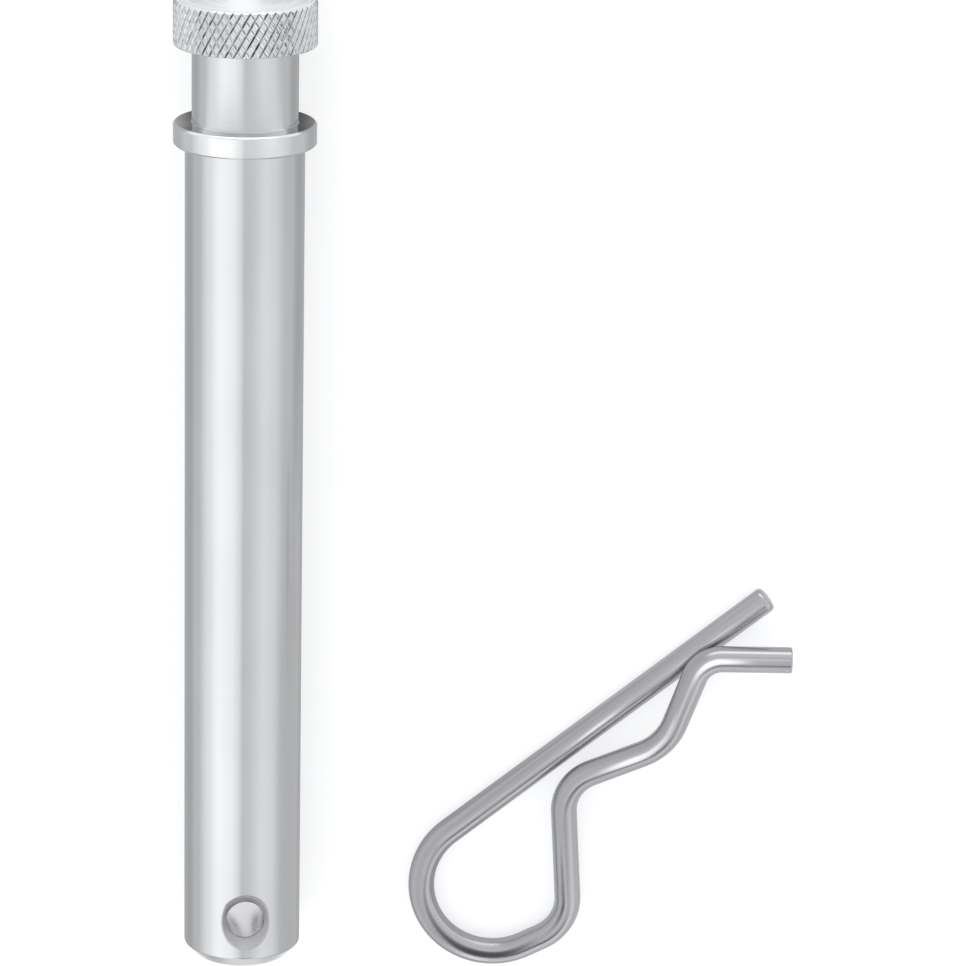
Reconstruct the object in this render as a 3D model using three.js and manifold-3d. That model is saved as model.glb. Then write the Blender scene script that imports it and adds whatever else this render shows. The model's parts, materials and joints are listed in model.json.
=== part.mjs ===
// A hitch pin and its R-shaped spring clip, laid side by side on a flat surface.
// Millimetres, +Z up. The pin lies along Y with its knurled head towards +Y, and the clip lies flat at +X.
// The origin is on that surface, under the middle of the pair's bounding box.

import {
  Box3,
  BufferAttribute,
  BufferGeometry,
  Curve,
  ExtrudeGeometry,
  Group,
  LatheGeometry,
  MathUtils,
  Mesh,
  MeshStandardMaterial,
  Shape,
  Vector2,
  Vector3,
} from "three";
import { mergeVertices } from "three/addons/utils/BufferGeometryUtils.js";
import Module from "manifold-3d";

const wasm = await Module();
wasm.setup();

// ---- Pin: one turned bar. Lengths are measured from the collar's underside, which is its seat. ----
const SHAFT_RADIUS = 15.875 / 2; // the 5/8 inch size
const SHAFT_LENGTH = 114.3; // seat to the end face
const END_CHAMFER_WIDTH = 1.5; // how much the chamfer takes off the radius
const END_CHAMFER_LENGTH = 1.6;
const RIM_RADIUS = 9.5; // collar and head
const RIM_CHAMFER = 0.25;
const COLLAR_THICKNESS = 3;
const NECK_RADIUS = 7.05;
const NECK_LENGTH = 10.4; // collar to head, fillet included
const NECK_FILLET = 0.15; // between the collar's top face and the neck
const HEAD_HEIGHT = 6.1;
const HEAD_TOP_CHAMFER = 0.35;
const HEAD_BASE_CHAMFER = 0.15;
const TURNED_SEGMENTS = 64;
const FILLET_STEPS = 3;

// ---- Cross hole for the clip, countersunk at both mouths ----
const HOLE_RADIUS = 2.6;
const HOLE_FROM_SEAT = 107.4;
const HOLE_TURN = MathUtils.degToRad(6.5); // how far its upper mouth leans towards +X
const COUNTERSINK_RADIUS = 3.9; // at the top of the shaft's curve
const COUNTERSINK_SLOPE = 1; // depth for each millimetre of radius: a 90 degree countersink
const CUTTER_OVERRUN = 1; // how far the cutter stands out of the shaft
const HOLE_SEGMENTS = 32;

// ---- Clip: one bent wire, listed from the straight leg's tip ----
const WIRE_RADIUS = 1.8;
const STRAIGHT_LEG = 55.4;
const BENDS = [
  { radius: 9.95, turn: 167.8, run: 2.7 }, // the bow
  { radius: 6.5, turn: 66.9, run: 12.9 }, // back towards the straight leg
  { radius: 6.15, turn: -69.2, run: 7.7 }, // into the shaft's pocket
  { radius: 8.1, turn: 45.7, run: 7.25 }, // out of the pocket
  { radius: 4.15, turn: -70.1, run: 9.4 }, // the nose and the flared tip
];
const NOSE_LIFT = 3.65; // the nose rides over the straight leg
const SPLIT_TURN = 90; // degrees into the bow at which the springy half starts
const SPLIT_GAP = 0.3;
const WIRE_STEP = 1.25;
const WIRE_SEGMENTS = 8; // a full circle gets twice as many sides

// ---- Layout: the clip's straight tip, seen from the pin's seat, and the way its leg runs from there ----
const CLIP_TIP = new Vector2(71.55, -64.1);
const CLIP_HEADING = MathUtils.degToRad(218.9);

function steelMaterial(name, color, roughness) {
  return new MeshStandardMaterial({ name, color, roughness, metalness: 1 });
}

function filletPoints() {
  // The concave quarter round that runs from the collar's flat top up into the neck.
  const points = [];
  for (let i = 0; i <= FILLET_STEPS; i += 1) {
    const angle = (Math.PI / 2) * (i / FILLET_STEPS);
    const out = NECK_RADIUS + NECK_FILLET * (1 - Math.sin(angle));
    const up = COLLAR_THICKNESS + NECK_FILLET * (1 - Math.cos(angle));
    points.push(new Vector2(out, up));
  }
  return points;
}

function pinProfile() {
  const headBase = COLLAR_THICKNESS + NECK_LENGTH;
  const headTop = headBase + HEAD_HEIGHT;
  return [
    new Vector2(0, -SHAFT_LENGTH),
    new Vector2(SHAFT_RADIUS - END_CHAMFER_WIDTH, -SHAFT_LENGTH),
    new Vector2(SHAFT_RADIUS, END_CHAMFER_LENGTH - SHAFT_LENGTH),
    new Vector2(SHAFT_RADIUS, 0),
    new Vector2(RIM_RADIUS - RIM_CHAMFER, 0),
    new Vector2(RIM_RADIUS, RIM_CHAMFER),
    new Vector2(RIM_RADIUS, COLLAR_THICKNESS - RIM_CHAMFER),
    new Vector2(RIM_RADIUS - RIM_CHAMFER, COLLAR_THICKNESS),
    ...filletPoints(),
    new Vector2(NECK_RADIUS, headBase),
    new Vector2(RIM_RADIUS - HEAD_BASE_CHAMFER, headBase),
    new Vector2(RIM_RADIUS, headBase + HEAD_BASE_CHAMFER),
    new Vector2(RIM_RADIUS, headTop - HEAD_TOP_CHAMFER),
    new Vector2(RIM_RADIUS - HEAD_TOP_CHAMFER, headTop),
    new Vector2(0, headTop),
  ];
}

function holeCutter() {
  // A bobbin: the bore in the middle, widening to a cone at each mouth.
  const countersinkDepth = (COUNTERSINK_RADIUS - HOLE_RADIUS) * COUNTERSINK_SLOPE;
  const boreHalf = SHAFT_RADIUS - countersinkDepth;
  const reach = SHAFT_RADIUS + CUTTER_OVERRUN;
  const mouth = HOLE_RADIUS + (reach - boreHalf) / COUNTERSINK_SLOPE;
  const profile = [
    new Vector2(0, -reach),
    new Vector2(mouth, -reach),
    new Vector2(HOLE_RADIUS, -boreHalf),
    new Vector2(HOLE_RADIUS, boreHalf),
    new Vector2(mouth, reach),
    new Vector2(0, reach),
  ];
  const cutter = new LatheGeometry(profile, HOLE_SEGMENTS);
  cutter.rotateX(Math.PI / 2);
  cutter.rotateY(HOLE_TURN);
  cutter.translate(0, -HOLE_FROM_SEAT, 0);
  return cutter;
}

function toManifold(geometry) {
  const bare = geometry.clone();
  bare.deleteAttribute("normal");
  bare.deleteAttribute("uv");
  const merged = mergeVertices(bare);
  const corners = merged.index.array;
  const kept = [];
  for (let i = 0; i < corners.length; i += 3) {
    const [a, b, c] = corners.slice(i, i + 3);
    // Triangles at the axis of a turned shape collapse to a line and are left out.
    if (a !== b && b !== c && c !== a) {
      kept.push(a, b, c);
    }
  }
  const mesh = new wasm.Mesh({
    numProp: 3,
    vertProperties: Float32Array.from(merged.attributes.position.array),
    triVerts: Uint32Array.from(kept),
  });
  return new wasm.Manifold(mesh);
}

function fromManifold(solid) {
  const mesh = solid.getMesh();
  const geometry = new BufferGeometry();
  geometry.setAttribute("position", new BufferAttribute(Float32Array.from(mesh.vertProperties), 3));
  geometry.setIndex(new BufferAttribute(Uint32Array.from(mesh.triVerts), 1));
  geometry.computeVertexNormals();
  return geometry;
}

function makePin() {
  const blank = new LatheGeometry(pinProfile(), TURNED_SEGMENTS);
  const drilled = toManifold(blank).subtract(toManifold(holeCutter()));
  const pin = new Mesh(fromManifold(drilled), steelMaterial("pin_steel", 0xcbcccd, 0.2));
  pin.name = "hitch_pin";
  // It lies on the collar's lower rim and on the edge of its far end, so its axis dips towards the end.
  const cylinderEnd = SHAFT_LENGTH - END_CHAMFER_LENGTH;
  const dip = Math.atan((RIM_RADIUS - SHAFT_RADIUS) / (RIM_CHAMFER + cylinderEnd));
  pin.rotation.x = dip;
  pin.position.z = RIM_RADIUS * Math.cos(dip) - RIM_CHAMFER * Math.sin(dip);
  return pin;
}

// The clip's centreline from one distance along the wire to another. In plan it is straight runs joined by
// round bends, starting along local +X; past the bow it climbs so that the nose passes over the leg.
class ClipWire extends Curve {
  constructor(from, to) {
    super();
    this.from = from;
    this.to = to;
  }

  getPoint(t, target = new Vector3()) {
    const distance = MathUtils.lerp(this.from, this.to, t);
    const plan = planPoint(distance);
    return target.set(plan.x, plan.y, wireLift(distance));
  }
}

function planPoint(distance) {
  let left = distance;
  let heading = 0;
  const point = new Vector2();
  const goStraight = (length) => {
    const step = MathUtils.clamp(left, 0, length);
    point.x += step * Math.cos(heading);
    point.y += step * Math.sin(heading);
    left -= step;
  };
  goStraight(STRAIGHT_LEG);
  for (const bend of BENDS) {
    const side = Math.sign(bend.turn);
    const fullTurn = MathUtils.degToRad(Math.abs(bend.turn));
    const turned = Math.min(left / bend.radius, fullTurn);
    const centre = new Vector2(-Math.sin(heading), Math.cos(heading)).multiplyScalar(side * bend.radius);
    centre.add(point);
    point.rotateAround(centre, side * turned);
    heading += side * turned;
    left -= turned * bend.radius;
    goStraight(bend.run);
  }
  return point;
}

function bendLength(bend) {
  return bend.radius * MathUtils.degToRad(Math.abs(bend.turn));
}

function lengthThrough(count) {
  // The wire's length up to the end of the run that follows that many bends.
  return BENDS.slice(0, count).reduce((sum, bend) => sum + bendLength(bend) + bend.run, STRAIGHT_LEG);
}

function wireLift(distance) {
  const riseStart = lengthThrough(1);
  const noseMiddle = lengthThrough(4) + bendLength(BENDS[4]) / 2;
  return NOSE_LIFT * MathUtils.smoothstep(distance, riseStart, noseMiddle);
}

function wireGeometry(from, to) {
  const section = new Shape();
  section.absarc(0, 0, WIRE_RADIUS, 0, 2 * Math.PI);
  return new ExtrudeGeometry(section, {
    steps: Math.round((to - from) / WIRE_STEP),
    curveSegments: WIRE_SEGMENTS,
    bevelEnabled: false,
    extrudePath: new ClipWire(from, to),
  });
}

function makeClip() {
  const split = STRAIGHT_LEG + BENDS[0].radius * MathUtils.degToRad(SPLIT_TURN);
  const halves = [
    { name: "clip_leg_and_bow", from: 0, to: split - SPLIT_GAP / 2 },
    { name: "clip_spring_leg", from: split + SPLIT_GAP / 2, to: lengthThrough(BENDS.length) },
  ];
  const clip = new Group();
  for (const half of halves) {
    const material = steelMaterial("clip_steel", 0xb3b3b5, 0.25);
    const wire = new Mesh(wireGeometry(half.from, half.to), material);
    wire.name = half.name;
    clip.add(wire);
  }
  clip.position.set(CLIP_TIP.x, CLIP_TIP.y, WIRE_RADIUS);
  clip.rotation.z = CLIP_HEADING;
  return clip;
}

const pair = new Group();
pair.add(makePin(), makeClip());
pair.updateMatrixWorld(true);
const extent = new Box3().setFromObject(pair, true);
const middle = extent.getCenter(new Vector3());
pair.position.set(-middle.x, -middle.y, -extent.min.z);

export default pair;
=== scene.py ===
"""A hitch pin with a knurled head and its R-shaped spring clip, lying side by side on a pale floor.

Lengths are in millimetres until a mesh is made, and every piece is placed by the frame's mounts and joints.
"""

import json
import math

import bmesh
import bpy
from mathutils import Matrix, Vector, noise


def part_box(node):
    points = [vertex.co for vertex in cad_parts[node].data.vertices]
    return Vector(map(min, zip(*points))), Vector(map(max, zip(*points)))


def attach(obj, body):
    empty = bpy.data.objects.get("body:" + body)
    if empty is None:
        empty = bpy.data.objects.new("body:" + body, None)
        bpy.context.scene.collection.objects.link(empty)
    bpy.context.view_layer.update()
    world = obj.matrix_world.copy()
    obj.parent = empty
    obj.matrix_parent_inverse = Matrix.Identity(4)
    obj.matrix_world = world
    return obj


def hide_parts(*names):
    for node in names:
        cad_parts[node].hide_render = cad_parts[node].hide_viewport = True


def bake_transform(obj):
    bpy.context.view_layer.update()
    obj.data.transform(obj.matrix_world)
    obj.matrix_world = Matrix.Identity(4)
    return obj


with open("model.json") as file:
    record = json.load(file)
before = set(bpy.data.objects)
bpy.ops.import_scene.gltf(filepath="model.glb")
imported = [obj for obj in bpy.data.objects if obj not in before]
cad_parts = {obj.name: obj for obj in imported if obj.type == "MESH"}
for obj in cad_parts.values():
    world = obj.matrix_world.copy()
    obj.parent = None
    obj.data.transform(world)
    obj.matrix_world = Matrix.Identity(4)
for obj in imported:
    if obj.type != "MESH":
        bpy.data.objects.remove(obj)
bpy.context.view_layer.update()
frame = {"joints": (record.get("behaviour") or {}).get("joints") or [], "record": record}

MM = 0.001

# ---- The pin, measured from its collar's seat, +Y towards the head ----
SHAFT_RADIUS = 15.875 / 2
SHAFT_LENGTH = 114.3
END_CHAMFER_WIDTH = 1.5
END_CHAMFER_LENGTH = 1.6
RIM_RADIUS = 9.5
RIM_CHAMFER = 0.25
COLLAR_THICKNESS = 3
NECK_RADIUS = 7.05
NECK_LENGTH = 10.4
NECK_FILLET = 0.15
HEAD_HEIGHT = 6.1
HEAD_TOP_CHAMFER = 0.35
HEAD_BASE_CHAMFER = 0.15
FILLET_STEPS = 4
CAP_RADIUS = 0.5  # the small disc that closes the middle of an end face
END_ROUNDING = 0.12  # how far each corner's rounding reaches along its flats
ROOT_ROUNDING = 0.08  # where the shaft meets the collar and the neck meets the head
RIM_ROUNDING = 0.06
LAND_ROUNDING = 0.05  # at the collar's flat top
ROUNDING_STEPS = (0, 0.33, 0.67, 1)
FLAT_HOLD = 1.7  # a point this many roundings from a corner keeps the flat's shading even
ROUNDED_POINTS = len(ROUNDING_STEPS) + 2
SKIN = 0.004  # how far the visible surface stays inside the solid's outline

# ---- The knurl: coarse grooves one way and fine ones the other, both slanted from the axis ----
KNURL_SLANT = math.radians(30)
COARSE_GROOVES = 52
FINE_GROOVES = 156
SAMPLES_PER_FINE_GROOVE = 5
COARSE_HALF_WIDTH = 0.25
COARSE_DEPTH = 0.22
MAIN_FINE_HALF_WIDTH = 0.19
MAIN_FINE_DEPTH = 0.15
FINE_HALF_WIDTH = 0.13
FINE_DEPTH = 0.075
MAIN_FINE_EVERY = 3  # every third fine groove is a main one
KNURL_WEAR = 0.35  # how much the grooves' depth varies
WEAR_SCALE = 0.9  # the noise's bumps per millimetre

# ---- The cross hole ----
HOLE_RADIUS = 2.6
HOLE_FROM_SEAT = 107.4
HOLE_TURN = math.radians(6.5)
COUNTERSINK_RADIUS = 3.9
MOUTH_ROWS = 16
MOUTH_HALF_COLUMNS = 15
MOUTH_HALF_LENGTH = 4.8
MOUTH_BEVEL = 0.07
MOUTH_STEPS = (0.3, 0.6, 0.85, 1)  # from the square patch of shaft to the bevelled edge
CONE_STEPS = (0, 0.06, 0.5, 0.94, 1)  # down the countersink
BORE_START = 0.15  # how far below the countersink the bore's own band starts

# ---- The clip, measured along its wire from the straight leg's tip ----
WIRE_RADIUS = 1.8
STRAIGHT_LEG = 55.4
BENDS = [
    (9.95, 167.8, 2.7),  # radius, turn in degrees, straight run after it: the bow
    (6.5, 66.9, 12.9),  # back towards the straight leg
    (6.15, -69.2, 7.7),  # into the shaft's pocket
    (8.1, 45.7, 7.25),  # out of the pocket
    (4.15, -70.1, 9.4),  # the nose and the flared tip
]
NOSE_LIFT = 3.65  # how far the nose rides above the straight leg
CLIP_HEADING = math.radians(218.9)
WIRE_STEP = 0.3  # between two rings
WIRE_SIDES = 40
WIRE_REACH = 0.02  # how far along the wire its direction is measured
LEG_TIP_EDGE = 0.55  # how far the two cut tips are worn round
FLARE_TIP_EDGE = 0.2
EDGE_HOLD = 1.4  # a ring this many edge radii from the tip keeps the side's shading even
EDGE_REACH = 1.5  # the plain rings start this many edge radii from the tip
TIP_CAP_RADIUS = 0.15
BOW_BOTTOM = 80  # places along the wire, for the cards over the clip
POCKET_RUN = 121
NOSE_END = 141
SEAM_HOLD = 0.02  # a ring this close to the seam keeps the shading even across it

COLUMNS = 156  # around the pin's plain surfaces
SHARP_ANGLE = math.radians(60)
KNURL_COLUMNS = FINE_GROOVES * SAMPLES_PER_FINE_GROOVE
# The last finish is a paler copy of the turned steel: a painted highlight.
TURNED, FACED, SATIN, DRILLED, SHEEN_PAINTED = range(5)  # the pin's finishes


class Shell:
    """The points and faces of one surface.

    Each point has a place, a place in the steel's grain and its depth in a groove, from 0 to 1.
    """

    def __init__(self):
        self.points = []
        self.grain = []
        self.groove = []
        self.faces = []
        self.finishes = []
        self.finish = 0  # which of the piece's materials the next faces get

    def add(self, *corners):
        self.faces.append(corners)
        self.finishes.append(self.finish)

    def ring(self, points, grain, groove=None):
        first = len(self.points)
        self.points.extend(points)
        self.grain.extend(grain)
        self.groove.extend(groove or [0.0] * len(points))
        return list(range(first, len(self.points)))

    def band(self, lower, upper):
        for i, a in enumerate(lower):
            j = (i + 1) % len(lower)
            self.add(a, lower[j], upper[j], upper[i])

    def triangle_band(self, lower, upper):
        for i, a in enumerate(lower):
            j = (i + 1) % len(lower)
            self.add(a, lower[j], upper[j])
            self.add(a, upper[j], upper[i])

    def coarsen(self, fine, coarse):
        step = len(fine) // len(coarse)
        for i, a in enumerate(coarse):
            j = (i + 1) % len(coarse)
            edge = [fine[(i * step + k) % len(fine)] for k in range(step + 1)]
            self.add(*edge, coarse[j], a)

    def cap(self, ring):
        self.add(*ring)


def mesh_piece(name, shell, place, *materials, closed=True):
    mesh = bpy.data.meshes.new(name)
    to_world = place @ Matrix.Scale(MM, 4)
    mesh.from_pydata([to_world @ Vector(p) for p in shell.points], [], shell.faces)
    for label, kind, key, values in (
        ("grain", "FLOAT_VECTOR", "vector", [c for g in shell.grain for c in g]),
        ("groove", "FLOAT", "value", shell.groove),
    ):
        layer = mesh.attributes.new(label, kind, "POINT")
        layer.data.foreach_set(key, values)
    for material in materials:
        mesh.materials.append(material)
    mesh.polygons.foreach_set("material_index", shell.finishes)
    if closed:
        bm = bmesh.new()
        bm.from_mesh(mesh)
        bmesh.ops.recalc_face_normals(bm, faces=bm.faces)
        bm.to_mesh(mesh)
        bm.free()
    mesh.shade_smooth()
    mesh.set_sharp_from_angle(angle=SHARP_ANGLE)
    piece = bpy.data.objects.new(name, mesh)
    bpy.context.scene.collection.objects.link(piece)
    return piece


# ---------------------------------------------------------------- the pin's shape


def rounded(profile):
    """Rounds the corners of an outline of (radius, height, rounding) and holds the flats beside them."""
    points = []
    for i, (r, y, size) in enumerate(profile):
        if size == 0:
            points.append(Vector((r, y)))
            continue
        corner = Vector((r, y))
        back = (Vector(profile[i - 1][:2]) - corner).normalized() * size
        ahead = (Vector(profile[i + 1][:2]) - corner).normalized() * size
        points.append(corner + FLAT_HOLD * back)
        for t in ROUNDING_STEPS:
            points.append(corner + (1 - t) ** 2 * back + t**2 * ahead)
        points.append(corner + FLAT_HOLD * ahead)
    return points


def turned_ring(shell, r, y, travel, count=COLUMNS, shift=0.0, cut=None, groove=None):
    """One ring about the pin's axis. Its first point is in line with the cross hole's upper mouth."""
    points, grain = [], []
    for i in range(count):
        angle = HOLE_TURN + 2 * math.pi * i / count + shift
        out = r - (cut[i] if cut else 0) - SKIN
        points.append((out * math.sin(angle), y, out * math.cos(angle)))
        grain.append((r * math.sin(angle), travel, r * math.cos(angle)))
    return shell.ring(points, grain, groove)


class Turning:
    """A turned surface that grows ring by ring along an outline. travel is the length along the outline."""

    def __init__(self, shell, start, ring=None, travel=0.0):
        self.shell = shell
        self.last = start
        self.travel = travel
        self.ring = ring or turned_ring(shell, start.x, start.y, travel)

    def follow(self, outline, finish):
        self.shell.finish = finish
        for point in outline:
            self.travel += (point - self.last).length
            ring = turned_ring(self.shell, point.x, point.y, self.travel)
            self.shell.band(self.ring, ring)
            self.ring, self.last = ring, point
        self.shell.finish = TURNED


def v_groove(phase, pitch, half_width, depth):
    """How deep the nearest of a set of V grooves is. phase counts them off."""
    off = abs(phase - round(phase)) * pitch
    return depth * max(0.0, 1 - off / half_width)


def knurl_cut(angle, y):
    """How deep the knurl cuts at a point of the head's side."""
    around = angle * RIM_RADIUS
    slant = y * math.tan(KNURL_SLANT)
    lead = 2 * math.pi * RIM_RADIUS
    coarse_phase = (around - slant) * COARSE_GROOVES / lead
    fine_phase = (around + slant) * FINE_GROOVES / lead
    coarse_pitch = lead / COARSE_GROOVES * math.cos(KNURL_SLANT)
    fine_pitch = lead / FINE_GROOVES * math.cos(KNURL_SLANT)
    spot = Vector((math.sin(angle), math.cos(angle), 0)) * RIM_RADIUS + Vector((0, 0, y))
    wear = KNURL_WEAR * noise.noise(spot * WEAR_SCALE)
    half_width, depth = FINE_HALF_WIDTH, FINE_DEPTH
    if round(fine_phase) % MAIN_FINE_EVERY == 0:
        half_width, depth = MAIN_FINE_HALF_WIDTH, MAIN_FINE_DEPTH
    coarse = v_groove(coarse_phase, coarse_pitch, COARSE_HALF_WIDTH, COARSE_DEPTH * (1 - wear))
    fine = v_groove(fine_phase, fine_pitch, half_width, depth * (1 + wear))
    return max(coarse, fine)


def knurled_side(shell, base, top):
    """The head's side from its base chamfer to its top chamfer.

    Columns follow the fine grooves, so that both sets of grooves run along the triangles' edges.
    """
    pitch = 2 * math.pi * RIM_RADIUS / KNURL_COLUMNS
    rows = round((top - base) * 2 * math.tan(KNURL_SLANT) / pitch)
    rings = []
    for row in range(rows + 1):
        y = base + (top - base) * row / rows
        shift = -(y - base) * math.tan(KNURL_SLANT) / RIM_RADIUS
        base_edge = HEAD_BASE_CHAMFER - (y - base)
        top_edge = HEAD_TOP_CHAMFER - (top - y)
        edge = max(0.0, base_edge, top_edge)
        angles = [2 * math.pi * i / KNURL_COLUMNS + shift for i in range(KNURL_COLUMNS)]
        knurl = [knurl_cut(angle, y - base) for angle in angles]
        cut = [max(edge, depth) for depth in knurl]
        groove = [depth / COARSE_DEPTH if depth > edge else 0.0 for depth in knurl]
        rings.append(turned_ring(shell, RIM_RADIUS, y, y, KNURL_COLUMNS, shift, cut, groove))
    for lower, upper in zip(rings, rings[1:]):
        shell.triangle_band(lower, upper)
    return rings[0], rings[-1]


def countersink_rim(phi):
    """How far the countersink's edge on the shaft is from the hole's axis, phi being 0 across the shaft."""
    inner = SHAFT_RADIUS - COUNTERSINK_RADIUS
    k = 1 + math.cos(phi) ** 2
    return (-inner + math.sqrt(inner**2 - k * (inner**2 - SHAFT_RADIUS**2))) / k


def hole_mouth(shell, rows, side):
    """One mouth of the cross hole: the shaft round it, its bevelled edge, the cone and the bore's start.

    side is 1 above and -1 below.
    """
    middle = 0 if side > 0 else COLUMNS // 2
    span = range(-MOUTH_HALF_COLUMNS, MOUTH_HALF_COLUMNS + 1)
    last = len(rows) - 1
    frame_spots = [(k, 0) for k in span]
    frame_spots += [(MOUTH_HALF_COLUMNS, row) for row in range(1, last)]
    frame_spots += [(k, last) for k in reversed(span)]
    frame_spots += [(-MOUTH_HALF_COLUMNS, row) for row in range(last - 1, 0, -1)]
    outer = [rows[row][(middle + side * k) % COLUMNS] for k, row in frame_spots]
    corners = []
    for k, row in frame_spots:
        across = SHAFT_RADIUS * 2 * math.pi * k / COLUMNS
        along = MOUTH_HALF_LENGTH * (2 * row / last - 1)
        corners.append((across, along))

    def on_shaft(across, along):
        angle = across / SHAFT_RADIUS
        return (SHAFT_RADIUS * math.sin(angle), along, side * SHAFT_RADIUS * math.cos(angle))

    def ring(places):
        turned = []
        for x, y, z in places:
            world_x = x * math.cos(HOLE_TURN) + z * math.sin(HOLE_TURN)
            world_z = z * math.cos(HOLE_TURN) - x * math.sin(HOLE_TURN)
            turned.append((world_x, y - HOLE_FROM_SEAT, world_z))
        return shell.ring(turned, turned)

    angles = [math.atan2(along, across) for across, along in corners]
    rims = [countersink_rim(phi) for phi in angles]
    before = outer
    for t in MOUTH_STEPS:
        places = []
        for (across, along), phi, rim in zip(corners, angles, rims):
            edge = rim + MOUTH_BEVEL
            edge_across = SHAFT_RADIUS * math.asin(edge * math.cos(phi) / SHAFT_RADIUS)
            edge_along = edge * math.sin(phi)
            inward_across = across + (edge_across - across) * t
            inward_along = along + (edge_along - along) * t
            places.append(on_shaft(inward_across, inward_along))
        now = ring(places)
        shell.band(before, now)
        before = now
    shell.finish = SATIN
    inner = SHAFT_RADIUS - COUNTERSINK_RADIUS
    for t in CONE_STEPS:
        places = []
        for phi, rim in zip(angles, rims):
            edge = rim - MOUTH_BEVEL
            out = edge + (HOLE_RADIUS - edge) * t
            places.append((out * math.cos(phi), out * math.sin(phi), side * (inner + out)))
        now = ring(places)
        shell.band(before, now)
        before = now
    bore_top = side * (inner + HOLE_RADIUS - BORE_START)
    places = [(HOLE_RADIUS * math.cos(phi), HOLE_RADIUS * math.sin(phi), bore_top) for phi in angles]
    now = ring(places)
    shell.band(before, now)
    shell.finish = TURNED
    return now


def far_end(shell):
    """The flat far end, its chamfer and the start of the shaft."""
    end_flat = SHAFT_RADIUS - END_CHAMFER_WIDTH
    outline = rounded(
        [
            (CAP_RADIUS, -SHAFT_LENGTH, 0),
            (end_flat, -SHAFT_LENGTH, END_ROUNDING),
            (SHAFT_RADIUS, END_CHAMFER_LENGTH - SHAFT_LENGTH, END_ROUNDING),
            (SHAFT_RADIUS, -SHAFT_LENGTH / 2, 0),
        ]
    )[:-1]
    shell.finish = FACED
    turning = Turning(shell, outline[0])
    shell.cap(turning.ring)
    turning.follow(outline[1:3], FACED)
    turning.follow(outline[3:], TURNED)
    return turning


def beside_mouths(column):
    """Whether a column of the shaft's faces runs clear of both mouths of the cross hole."""
    for middle in (0, COLUMNS / 2):
        off = (column + 0.5 - middle + COLUMNS / 2) % COLUMNS - COLUMNS / 2
        if abs(off) <= MOUTH_HALF_COLUMNS:
            return False
    return True


def cross_hole(shell, turning):
    """The stretch of shaft with the cross hole. Gives back the turning that goes on from it."""
    mouth_rows = []
    for row in range(MOUTH_ROWS + 1):
        y = -HOLE_FROM_SEAT + MOUTH_HALF_LENGTH * (2 * row / MOUTH_ROWS - 1)
        travel = turning.travel + (y - turning.last.y)
        mouth_rows.append(turned_ring(shell, SHAFT_RADIUS, y, travel))
    shell.band(turning.ring, mouth_rows[0])
    for lower, upper in zip(mouth_rows, mouth_rows[1:]):
        for i in filter(beside_mouths, range(COLUMNS)):
            j = (i + 1) % COLUMNS
            shell.add(lower[i], lower[j], upper[j], upper[i])
    bore_ends = hole_mouth(shell, mouth_rows, 1), hole_mouth(shell, mouth_rows, -1)
    shell.finish = DRILLED
    shell.band(*bore_ends)
    shell.finish = TURNED
    mouth_end = Vector((SHAFT_RADIUS, -HOLE_FROM_SEAT + MOUTH_HALF_LENGTH))
    travel = turning.travel + (mouth_end.y - turning.last.y)
    return Turning(shell, mouth_end, mouth_rows[-1], travel)


def collar_and_neck(turning, head_base):
    """From the cross hole up the shaft, round the collar and up the neck to the head's underside."""
    fillet = []
    for i in range(FILLET_STEPS + 1):
        angle = math.pi / 2 * i / FILLET_STEPS
        out = NECK_RADIUS + NECK_FILLET * (1 - math.sin(angle))
        up = COLLAR_THICKNESS + NECK_FILLET * (1 - math.cos(angle))
        fillet.append((out, up, 0))
    collar = rounded(
        [
            (*turning.last, 0),
            (SHAFT_RADIUS, 0, ROOT_ROUNDING),
            (RIM_RADIUS - RIM_CHAMFER, 0, RIM_ROUNDING),
            (RIM_RADIUS, RIM_CHAMFER, RIM_ROUNDING),
            (RIM_RADIUS, COLLAR_THICKNESS - RIM_CHAMFER, RIM_ROUNDING),
            (RIM_RADIUS - RIM_CHAMFER, COLLAR_THICKNESS, LAND_ROUNDING),
            fillet[0],
        ]
    )
    neck_top = (NECK_RADIUS, head_base, ROOT_ROUNDING)
    neck = rounded([*fillet, neck_top, (RIM_RADIUS - HEAD_BASE_CHAMFER, head_base, 0)])
    root_end = 1 + ROUNDED_POINTS
    turning.follow(collar[1:root_end], TURNED)
    # The collar's underside, rim and land get the paler copy of the steel, a painted highlight.
    turning.follow(collar[root_end:-1] + neck[:1], SHEEN_PAINTED)
    turning.follow(neck[1:-1], TURNED)


def head(shell, turning, head_base):
    """The head's underside, its knurled side and its flat end."""
    head_top = head_base + HEAD_HEIGHT
    underside = turned_ring(shell, RIM_RADIUS - 4 * HEAD_BASE_CHAMFER, head_base, turning.travel)
    shell.band(turning.ring, underside)
    # The knurled side gets the paler copy of the steel too, a painted highlight.
    shell.finish = SHEEN_PAINTED
    knurl_base, knurl_top = knurled_side(shell, head_base, head_top)
    shell.coarsen(knurl_base, underside)
    face_rings = []
    for radius in (RIM_RADIUS - 2 * HEAD_TOP_CHAMFER, CAP_RADIUS):
        face_rings.append(turned_ring(shell, radius, head_top, head_top + RIM_RADIUS - radius))
    shell.finish = FACED
    shell.coarsen(knurl_top, face_rings[0])
    shell.band(*face_rings)
    shell.cap(face_rings[1])


def make_pin(place, *materials):
    shell = Shell()
    head_base = COLLAR_THICKNESS + NECK_LENGTH
    turning = cross_hole(shell, far_end(shell))
    collar_and_neck(turning, head_base)
    head(shell, turning, head_base)
    return mesh_piece("pin_turned_steel", shell, place, *materials)


# ---------------------------------------------------------------- the clip's shape


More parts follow.
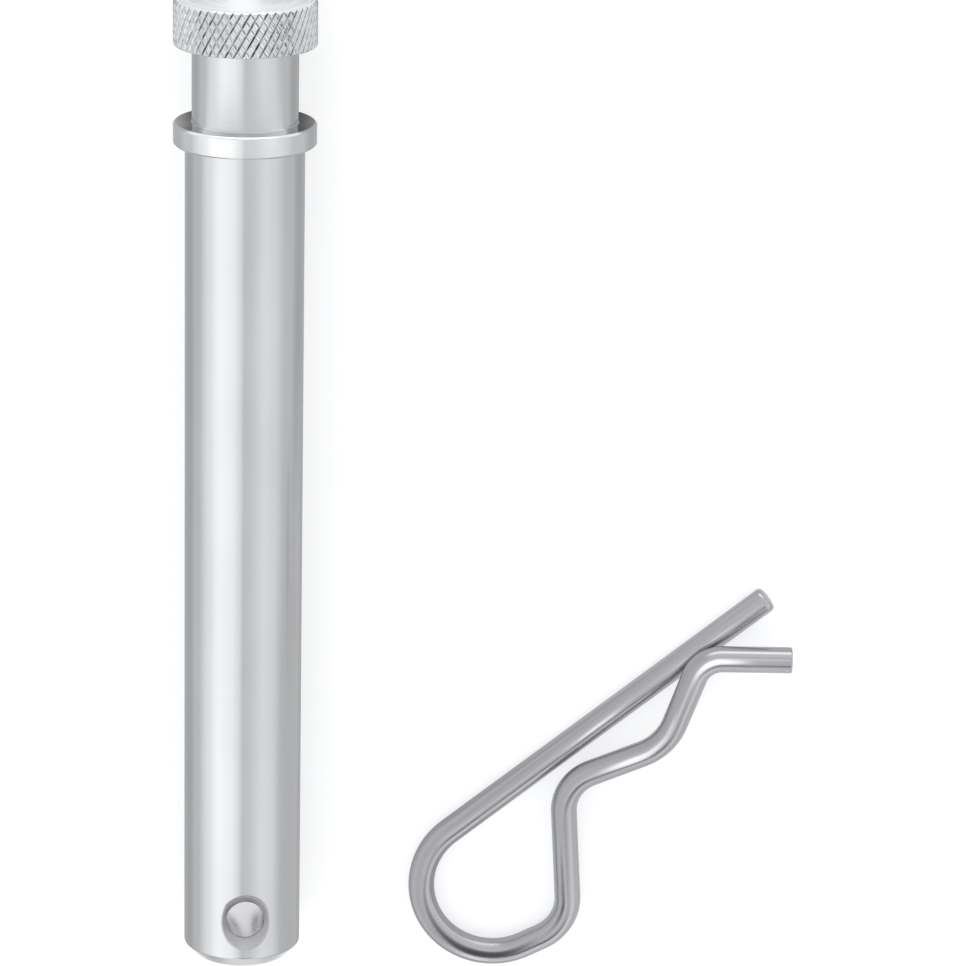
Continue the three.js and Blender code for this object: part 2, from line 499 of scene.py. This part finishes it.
def clip_plan(distance):
    """Where the wire's centreline is in plan: straight runs joined by bends, from the tip along +X."""
    x, y, heading = min(distance, STRAIGHT_LEG), 0.0, 0.0
    left = distance - x
    for radius, turn, run in BENDS:
        if left <= 0:
            break
        side = math.copysign(1, turn)
        turned = min(left / radius, math.radians(abs(turn)))
        after = heading + side * turned
        x += side * radius * (math.sin(after) - math.sin(heading))
        y -= side * radius * (math.cos(after) - math.cos(heading))
        heading = after
        left -= turned * radius
        straight = max(0.0, min(left, run))
        x += straight * math.cos(heading)
        y += straight * math.sin(heading)
        left -= straight
    return x, y


def length_through(count):
    """The wire's length from its tip through its first bends and the straight run after each."""
    return STRAIGHT_LEG + sum(r * math.radians(abs(turn)) + run for r, turn, run in BENDS[:count])


def clip_lift(distance):
    """How far the wire has risen: level through the bow, then smoothly up to the middle of the nose."""
    start = length_through(1)
    nose_radius, nose_turn, _ = BENDS[4]
    nose = length_through(4) + nose_radius * math.radians(abs(nose_turn)) / 2
    t = max(0.0, min(1.0, (distance - start) / (nose - start)))
    return NOSE_LIFT * t * t * (3 - 2 * t)


def clip_point(distance):
    return Vector((*clip_plan(distance), clip_lift(distance)))


def wire_ring(shell, distance, radius, total):
    """A ring about the wire's centreline, square to it."""
    ahead = clip_point(min(total, distance + WIRE_REACH))
    behind = clip_point(max(0.0, distance - WIRE_REACH))
    along = (ahead - behind).normalized()
    side = Vector((0, 0, 1)).cross(along).normalized()
    up = along.cross(side)
    centre = clip_point(distance)
    points, grain = [], []
    for i in range(WIRE_SIDES):
        angle = 2 * math.pi * i / WIRE_SIDES
        out = math.cos(angle) * side + math.sin(angle) * up
        points.append(centre + radius * out)
        grain.append((radius * math.cos(angle), radius * math.sin(angle), distance))
    return shell.ring(points, grain)


def make_wire(name, start, end, edges, place, material):
    """One stretch of the clip. edges gives each end's rounding, 0 where the wire goes on."""
    shell = Shell()
    total = length_through(len(BENDS))
    radius = WIRE_RADIUS - SKIN
    steps = round((end - start) / WIRE_STEP)
    stations = []
    for i in range(steps + 1):
        stations.append((start + (end - start) * i / steps, radius))
    if edges[0]:
        stations = [s for s in stations if s[0] > start + EDGE_REACH * edges[0]]
        stations = rounded_end(start, 1, edges[0], radius) + stations
    if edges[1]:
        stations = [s for s in stations if s[0] < end - EDGE_REACH * edges[1]]
        stations += reversed(rounded_end(end, -1, edges[1], radius))
    if not edges[0]:
        stations.insert(1, (start + SEAM_HOLD, radius))
    if not edges[1]:
        stations.insert(-1, (end - SEAM_HOLD, radius))
    rings = [wire_ring(shell, distance, r, total) for distance, r in stations]
    for lower, upper in zip(rings, rings[1:]):
        shell.band(lower, upper)
    shell.cap(rings[0])
    shell.cap(rings[-1])
    return mesh_piece(name, shell, place, material)


def rounded_end(tip, direction, edge, radius):
    """Stations from the middle of a cut end, around its worn edge, to the wire's side."""
    stations = [(tip, TIP_CAP_RADIUS), (tip, radius - EDGE_REACH * edge), (tip, radius - edge)]
    for angle in (30, 60, 90):
        turn = math.radians(angle)
        distance = tip + direction * edge * (1 - math.cos(turn))
        stations.append((distance, radius - edge + edge * math.sin(turn)))
    stations.append((tip + direction * edge * EDGE_HOLD, radius))
    return stations


# ---------------------------------------------------------------- materials


class Nodes:
    """A short way to write a node tree."""

    def __init__(self, tree):
        self.tree = tree
        tree.nodes.clear()

    def feed(self, socket, value):
        if isinstance(value, bpy.types.NodeSocket):
            self.tree.links.new(value, socket)
        else:
            socket.default_value = value

    def add(self, kind, inputs=None, **settings):
        node = self.tree.nodes.new(kind)
        for name, value in settings.items():
            setattr(node, name, value)
        for name, value in (inputs or {}).items():
            self.feed(node.inputs[name], value)
        return node

    def math(self, operation, *values, clamp=False):
        node = self.add("ShaderNodeMath", operation=operation, use_clamp=clamp)
        for socket, value in zip(node.inputs, values):
            self.feed(socket, value)
        return node.outputs[0]

    def stretch(self, vector, factors):
        node = self.add("ShaderNodeVectorMath", operation="MULTIPLY")
        self.feed(node.inputs[0], vector)
        self.feed(node.inputs[1], factors)
        return node.outputs[0]

    def noise(self, vector, detail=2.0, roughness=0.5):
        settings = {"Vector": vector, "Scale": 1.0, "Detail": detail, "Roughness": roughness}
        return self.add("ShaderNodeTexNoise", settings).outputs["Fac"]

    def level(self, value, low, high, to_low=0.0, to_high=1.0):
        """Maps a value from one range to another, smoothly and without leaving it."""
        settings = {"Value": value, "From Min": low, "From Max": high, "To Min": to_low, "To Max": to_high}
        return self.add("ShaderNodeMapRange", settings, interpolation_type="SMOOTHSTEP").outputs["Result"]

    def window(self, value, low, high, soft):
        """1 between low and high, fading to 0 at both over a soft width."""
        rise = self.level(value, low, low + soft)
        return self.math("MULTIPLY", rise, self.level(value, high - soft, high, 1.0, 0.0))

    def blend(self, factor, first, second):
        node = self.add("ShaderNodeMix", data_type="RGBA")
        self.feed(node.inputs[0], factor)
        self.feed(node.inputs[6], first)
        self.feed(node.inputs[7], second)
        return node.outputs[2]

    def bump(self, height, strength, distance, normal=None):
        inputs = {"Height": height, "Strength": strength, "Distance": distance}
        if normal:
            inputs["Normal"] = normal
        return self.add("ShaderNodeBump", inputs).outputs["Normal"]


def new_material(name):
    """An empty material, its nodes and the grain of the piece that wears it.

    The grain is in millimetres, except on a card, where it runs from -1 to 1.
    """
    material = bpy.data.materials.new(name)
    material.use_nodes = True
    nodes = Nodes(material.node_tree)
    grain = nodes.add("ShaderNodeAttribute", attribute_name="grain").outputs["Vector"]
    return material, nodes, grain


def finish_steel(nodes, color, roughness, normal):
    inputs = {"Base Color": color, "Metallic": 1.0, "Roughness": roughness, "Normal": normal}
    shader = nodes.add("ShaderNodeBsdfPrincipled", inputs)
    nodes.add("ShaderNodeOutputMaterial", {"Surface": shader.outputs["BSDF"]})


def turned_steel(name, dull, bright):
    """Bright steel with fine turning marks round the axis, faint rub marks along it and dull clouds."""
    material, nodes, grain = new_material(name)
    fine = nodes.noise(nodes.stretch(grain, (0.15, 9.0, 0.15)), 3.0, 0.6)
    feed = nodes.noise(nodes.stretch(grain, (0.05, 1.6, 0.05)), 2.0)
    rub = nodes.noise(nodes.stretch(grain, (5.0, 0.16, 5.0)), 3.0, 0.65)
    cloud = nodes.noise(nodes.stretch(grain, (0.12, 0.05, 0.12)), 3.0)
    groove = nodes.add("ShaderNodeAttribute", attribute_name="groove").outputs["Fac"]

    worn = nodes.level(cloud, 0.35, 0.7)
    color = nodes.blend(worn, dull, bright)
    # The colour goes darker the deeper a point is in the knurl's grooves, mottled by a noise.
    groove_mottle = nodes.noise(nodes.stretch(grain, (0.7, 0.7, 0.7)), 2.0)
    groove_dark = nodes.blend(nodes.level(groove_mottle, 0.4, 0.62), (0.46, 0.46, 0.465, 1), (0.12, 0.12, 0.12, 1))
    color = nodes.blend(nodes.level(groove, 0.3, 1.0), color, groove_dark)
    marks = nodes.math("MULTIPLY_ADD", nodes.level(fine, 0.3, 0.7), 0.05, 0.13)
    rubbed_and_sheen = nodes.math("MULTIPLY_ADD", nodes.level(rub, 0.62, 0.8), 0.06, marks)
    roughness = nodes.math("MULTIPLY_ADD", worn, 0.03, rubbed_and_sheen)
    normal = nodes.bump(fine, 0.06, 0.00002)
    normal = nodes.bump(feed, 0.05, 0.00004, normal)
    normal = nodes.bump(rub, 0.03, 0.00002, normal)
    finish_steel(nodes, color, roughness, normal)
    return material


def ringed_steel(name, stretch, dark, pale, smooth, rough, strength, depth):
    """Steel with a tool's rings in it, between a dark and a pale grey and between two roughnesses."""
    material, nodes, grain = new_material(name)
    rings = nodes.noise(nodes.stretch(grain, stretch), 3.0, 0.6)
    ringed = nodes.level(rings, 0.3, 0.7)
    color = nodes.blend(ringed, dark, pale)
    normal = nodes.bump(rings, strength, depth)
    finish_steel(nodes, color, nodes.level(rings, 0.3, 0.7, smooth, rough), normal)
    return material


def faced_steel():
    """The evenly faced ends, with the tool's rings about the middle. Their near-white grey is a painted
    reflection of the bright floor.
    """
    dark, pale = (0.87, 0.87, 0.88, 1), (0.95, 0.95, 0.96, 1)
    return ringed_steel("faced_steel", (0.05, 3.0, 0.05), dark, pale, 0.36, 0.46, 0.1, 0.00004)


def satin_steel():
    """The duller cones at the cross hole's mouths."""
    dark, pale = (0.45, 0.45, 0.46, 1), (0.54, 0.54, 0.55, 1)
    return ringed_steel("satin_steel", (0.6, 0.6, 5.0), dark, pale, 0.5, 0.62, 0.15, 0.00005)


def drilled_steel():
    """The inside of the cross hole, with the drill's rings. Its grey is paler than the shaft's steel as
    painted light in the shaded bore.
    """
    dark, pale = (0.64, 0.64, 0.65, 1), (0.74, 0.74, 0.75, 1)
    return ringed_steel("drilled_steel", (0.4, 0.4, 6.0), dark, pale, 0.2, 0.3, 0.08, 0.00003)


def drawn_wire():
    """Satin spring wire with drawing lines along it, darker streaks and small dull patches."""
    material, nodes, grain = new_material("drawn_wire")
    lines = nodes.noise(nodes.stretch(grain, (4.5, 4.5, 0.07)), 4.0, 0.6)
    streak = nodes.noise(nodes.stretch(grain, (1.4, 1.4, 0.03)), 2.0)
    patch = nodes.noise(nodes.stretch(grain, (0.5, 0.5, 0.16)), 3.0)
    pits = nodes.noise(nodes.stretch(grain, (9.0, 9.0, 5.0)), 2.0)

    streaked = nodes.level(streak, 0.3, 0.7)
    color = nodes.blend(streaked, (0.44, 0.44, 0.455, 1), (0.53, 0.53, 0.545, 1))
    color = nodes.blend(nodes.level(patch, 0.55, 0.8), color, (0.46, 0.46, 0.47, 1))
    lined = nodes.math("MULTIPLY_ADD", nodes.level(lines, 0.3, 0.7), 0.07, 0.19)
    roughness = nodes.math("MULTIPLY_ADD", nodes.level(patch, 0.4, 0.75), 0.08, lined)
    normal = nodes.bump(lines, 0.12, 0.00003)
    normal = nodes.bump(pits, 0.04, 0.00002, normal)
    finish_steel(nodes, color, roughness, normal)
    return material


# ---------------------------------------------------------------- the studio

# The light that comes from each side, by degrees from straight up towards +X: a bright softbox on the left,
# a dimmer one on the right and a narrow gap between them.
SIDE_LIGHT = [
    (-90, 0.92),
    (-72, 1.20),
    (-45, 1.56),
    (-20, 1.46),
    (-5, 1.20),
    (2.5, 0.83),
    (9, 0.90),
    (45, 1.16),
    (62, 1.08),
    (90, 0.80),
]
LIGHT_SCALE = 2.0  # a ramp's colours stay below 1
OVERHEAD_LIGHT = 0.7  # how much brighter the softbox overhead is
BACK_GAP = 0.8  # how much darker the gap behind the pin is
DARKEST = 0.1  # the least light from any direction
SKY_TINT = (0.985, 0.992, 1.0, 1.0)
FLOOR_GLOW = 0.57  # lifts the paper to white for the camera
BORE_GLOW_OFF = 0.0008  # how far the bright strip under the bore is from the pin's middle, in metres
PAST_GLOW = 0.46  # how much brighter the floor past the pin's ends is
CARD_CORE = 0.45  # the part of a card that its soft edge leaves whole
CAMERA_PLACE = (-6.05, 194.15, 658.96)  # in millimetres
CAMERA_ANGLES = (16.379, -0.488, 1.076)  # pitch, yaw and roll in degrees
SENSOR_WIDTH = 36
LENS = 187.55


def light_studio():
    world = bpy.data.worlds.new("studio")
    world.use_nodes = True
    bpy.context.scene.world = world
    nodes = Nodes(world.node_tree)
    direction = nodes.add("ShaderNodeTexCoord").outputs["Generated"]
    parts = nodes.add("ShaderNodeSeparateXYZ", {"Vector": direction})
    x, y, z = parts.outputs
    angle = nodes.math("ARCTAN2", x, z)
    place = nodes.math("MULTIPLY_ADD", angle, 1 / math.pi, 0.5, clamp=True)
    ramp = nodes.add("ShaderNodeValToRGB", {"Fac": place})
    ramp.color_ramp.interpolation = "EASE"
    stops = ramp.color_ramp.elements
    while len(stops) < len(SIDE_LIGHT):
        stops.new(0.5)
    for stop, (degrees, level) in zip(stops, SIDE_LIGHT):
        stop.position = degrees / 180 + 0.5
        stop.color = (*[level / LIGHT_SCALE] * 3, 1)
    sides = nodes.math("MULTIPLY", ramp.outputs["Color"], LIGHT_SCALE)

    tilt = nodes.math("ARCTAN2", y, z)
    front_level = nodes.level(z, 0.1, 0.9, 1.25, 0.87)
    far_front = nodes.level(y, 0.8, 0.95, 0.0, 0.9)
    low_front = nodes.math("MULTIPLY", far_front, nodes.level(z, 0.2, 0.36, 1.0, 0.0))
    front_level = nodes.math("ADD", front_level, low_front)
    front = nodes.level(y, -0.16, 0.0)
    light = nodes.math("MULTIPLY_ADD", front, nodes.math("SUBTRACT", front_level, sides), sides)
    narrow = nodes.window(x, -0.2, 0.2, 0.1)
    overhead = nodes.math("MULTIPLY", narrow, nodes.window(tilt, 0.16, 0.4, 0.1))
    light = nodes.math("MULTIPLY_ADD", overhead, OVERHEAD_LIGHT, light)
    wide = nodes.window(x, -0.5, 0.5, 0.25)
    back_gap = nodes.math("MULTIPLY", wide, nodes.window(tilt, -0.94, -0.52, 0.16))
    light = nodes.math("MULTIPLY_ADD", back_gap, -BACK_GAP, light)
    light = nodes.math("MAXIMUM", light, DARKEST)
    background = nodes.add("ShaderNodeBackground", {"Color": SKY_TINT, "Strength": light})
    nodes.add("ShaderNodeOutputWorld", {"Surface": background.outputs["Background"]})


def floor_in_reflections(nodes):
    """How bright the steel sees the floor, by distances in metres from the pin.

    It is grey beside the pin, paler further out and past its ends, and bright in a strip under the bore.
    """
    low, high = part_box("hitch_pin")
    place = nodes.add("ShaderNodeNewGeometry").outputs["Position"]
    x, y, _ = nodes.add("ShaderNodeSeparateXYZ", {"Vector": place}).outputs
    middle = (low.x + high.x) / 2
    off = nodes.math("ABSOLUTE", nodes.math("SUBTRACT", x, middle))
    beside = nodes.level(off, 0.02, 0.05, 0.62, 0.84)
    off_bore = nodes.math("ABSOLUTE", nodes.math("SUBTRACT", x, middle - BORE_GLOW_OFF))
    bore = nodes.level(off_bore, 0.0012, 0.0031, 0.4, -0.5)
    below = nodes.math("ADD", bore, nodes.level(off, 0.007, 0.011, 0.0, 0.45))
    past_head = nodes.level(y, high.y, high.y + 0.008)
    past_end = nodes.level(y, low.y - 0.006, low.y - 0.001, 1.0, 0.0)
    past_end = nodes.math("MULTIPLY", past_end, nodes.level(off, 0.008, 0.012, 1.0, 0.0))
    past = nodes.math("ADD", past_head, past_end)
    below = nodes.math("MULTIPLY", below, nodes.math("SUBTRACT", 1.0, past))
    return nodes.math("MULTIPLY_ADD", past, PAST_GLOW, nodes.math("ADD", beside, below))


def lay_floor():
    """A plain round sheet, large enough to fill every view."""
    shell = Shell()
    rings = []
    for radius in (40, 300, 3000):
        turns = [a * math.pi / 48 for a in range(96)]
        circle = [(radius * math.cos(a), radius * math.sin(a), 0) for a in turns]
        rings.append(shell.ring(circle, circle))
    shell.cap(rings[0])
    for inner, outer in zip(rings, rings[1:]):
        shell.band(outer, inner)
    material, nodes, grain = new_material("floor_paper")
    fibre = nodes.noise(nodes.stretch(grain, (1.5, 1.5, 1.5)), 4.0)
    color = nodes.blend(fibre, (0.54, 0.54, 0.54, 1), (0.56, 0.56, 0.56, 1))
    paper = nodes.add("ShaderNodeBsdfPrincipled", {"Base Color": color, "Roughness": 0.9})
    paper.inputs["Emission Color"].default_value = SKY_TINT
    paper.inputs["Emission Strength"].default_value = FLOOR_GLOW
    seen = nodes.add("ShaderNodeLightPath").outputs["Is Camera Ray"]
    brightness = floor_in_reflections(nodes)
    reflected = nodes.add("ShaderNodeEmission", {"Color": SKY_TINT, "Strength": brightness})
    sides = {0: seen, 1: reflected.outputs[0], 2: paper.outputs["BSDF"]}
    shader = nodes.add("ShaderNodeMixShader", sides)
    nodes.add("ShaderNodeOutputMaterial", {"Surface": shader.outputs[0]})
    mesh_piece("floor", shell, Matrix.Identity(4), material, closed=False)


def hang_card(name, centre, across, along, level, reach):
    """A soft-edged card that only the steel's reflections see, from its front and from within reach.

    across and along are its half sizes in millimetres, reach is in metres and level is how bright it is.
    """
    corners = [(-1, -1, 0), (1, -1, 0), (1, 1, 0), (-1, 1, 0)]
    shell = Shell()
    shell.cap(shell.ring([centre + a * across + b * along for a, b, _ in corners], corners))
    material, nodes, grain = new_material(name + "_glow")
    edge = nodes.add("ShaderNodeVectorMath", {0: grain}, operation="LENGTH").outputs["Value"]
    front = nodes.math("SUBTRACT", 1.0, nodes.add("ShaderNodeNewGeometry").outputs["Backfacing"])
    near = nodes.math("LESS_THAN", nodes.add("ShaderNodeLightPath").outputs["Ray Length"], reach)
    cover = nodes.math("MULTIPLY", front, near)
    cover = nodes.math("MULTIPLY", cover, nodes.level(edge, CARD_CORE, 1.0, 1.0, 0.0))
    glow = nodes.add("ShaderNodeEmission", {"Color": SKY_TINT, "Strength": level})
    clear = nodes.add("ShaderNodeBsdfTransparent")
    mix = nodes.add("ShaderNodeMixShader", {0: cover, 1: clear.outputs[0], 2: glow.outputs[0]})
    nodes.add("ShaderNodeOutputMaterial", {"Surface": mix.outputs[0]})
    card = mesh_piece(name, shell, Matrix.Identity(4), material, closed=False)
    card.visible_camera = False
    card.visible_diffuse = False
    card.visible_shadow = False


def hang_cards():
    """Grey cards that hide the pin and the clip from each other, and three that hang over the clip.

    Those three are a black one over the bow and white ones over the pocket and the nose.
    """
    pin_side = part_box("hitch_pin")[1].x
    clip_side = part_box("clip_leg_and_bow")[0].x
    between = (pin_side + clip_side) / 2 / MM
    beside = Vector((between, -25, 40))
    hang_card("card_beside", beside, Vector((0, 140, 0)), Vector((0, 0, 150)), 0.8, 1)
    hide = Vector((between - 1, -40, 0))
    hang_card("card_hide", hide, Vector((0, -70, 0)), Vector((0, 0, 22)), 0.71, 1)
    at = clip_place()

    def hang_over(name, along_wire, offset, across, along, level, reach):
        centre = at @ (clip_point(along_wire) * MM) / MM
        hang_card(name, centre + Vector(offset), Vector(across), Vector(along), level, reach * MM)

    hang_over("card_bow", BOW_BOTTOM, (-2, -5, 15), (9, 0, 0), (0, -13, 0), 0.1, 22)
    hang_over("card_pocket", POCKET_RUN, (-2.5, -4, 15), (5, 2, 0), (4, -9.5, 0), 2.3, 17.5)
    hang_over("card_nose", NOSE_END, (-1, -1, 12), (7, 0, 0), (0, -7, 0), 2.4, 14)


def place_camera():
    """A long lens high over the head end, looking down along the pin."""
    pitch, yaw, roll = (math.radians(degrees) for degrees in CAMERA_ANGLES)
    turn = Matrix.Rotation(yaw, 4, "Y") @ Matrix.Rotation(-pitch, 4, "X") @ Matrix.Rotation(roll, 4, "Z")
    data = bpy.data.cameras.new("camera")
    data.sensor_width = SENSOR_WIDTH
    data.lens = LENS
    camera = bpy.data.objects.new("camera", data)
    camera.matrix_world = Matrix.Translation(Vector(CAMERA_PLACE) * MM) @ turn
    bpy.context.scene.collection.objects.link(camera)
    bpy.context.scene.camera = camera
    bpy.context.scene.view_settings.view_transform = "Standard"


# ---------------------------------------------------------------- putting it together


def pin_place():
    """The pin's own frame: its origin at the collar's seat and its Y axis towards the head."""
    face = next(m for m in frame["record"]["mounts"] if m["name"] == "head_face")
    axis = Vector(face["axis"]).normalized()
    seat = Vector(face["pos_m"]) - axis * (COLLAR_THICKNESS + NECK_LENGTH + HEAD_HEIGHT) * MM
    dip = math.atan2(axis.z, axis.y)
    return Matrix.Translation(seat) @ Matrix.Rotation(dip, 4, "X")


def clip_place():
    """The clip's own frame: its origin at the straight leg's tip and its X axis along the leg."""
    hinge = next(j for j in frame["joints"] if j["name"] == "clip_flex")
    turn = Matrix.Rotation(CLIP_HEADING, 4, "Z")
    bow_radius = BENDS[0][0]
    outer_edge = Vector((STRAIGHT_LEG + bow_radius + WIRE_RADIUS, bow_radius, 0)) * MM
    tip = Vector(hinge["pos_m"]) - turn.to_3x3() @ outer_edge
    return Matrix.Translation(tip) @ turn


def build_pin():
    turned = turned_steel("turned_steel", (0.575, 0.58, 0.59, 1), (0.60, 0.605, 0.61, 1))
    # A paler copy of the turned steel for the collar, the foot of the neck and the knurl; its lighter grey
    # is a painted highlight.
    rubbed_and_sheen = turned_steel("sheen_painted_steel", (0.63, 0.635, 0.645, 1), (0.72, 0.725, 0.73, 1))
    # In the order of TURNED, FACED, SATIN, DRILLED and SHEEN_PAINTED.
    pin = make_pin(pin_place(), turned, faced_steel(), satin_steel(), drilled_steel(), rubbed_and_sheen)
    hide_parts("hitch_pin")
    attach(pin, "pin")


def build_clip():
    """The clip's two stretches of wire, which meet at the far end of the bow."""
    at = clip_place()
    wire_steel = drawn_wire()
    bow_radius = BENDS[0][0]
    seam = STRAIGHT_LEG + bow_radius * math.pi / 2
    leg = make_wire("clip_leg_wire", 0, seam, (LEG_TIP_EDGE, 0), at, wire_steel)
    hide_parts("clip_leg_and_bow")
    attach(leg, "clip")

    tip = length_through(len(BENDS))
    spring = make_wire("clip_spring_wire", seam, tip, (0, FLARE_TIP_EDGE), at, wire_steel)
    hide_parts("clip_spring_leg")
    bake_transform(spring)


place_camera()
light_studio()
lay_floor()
hang_cards()
build_pin()
build_clip()
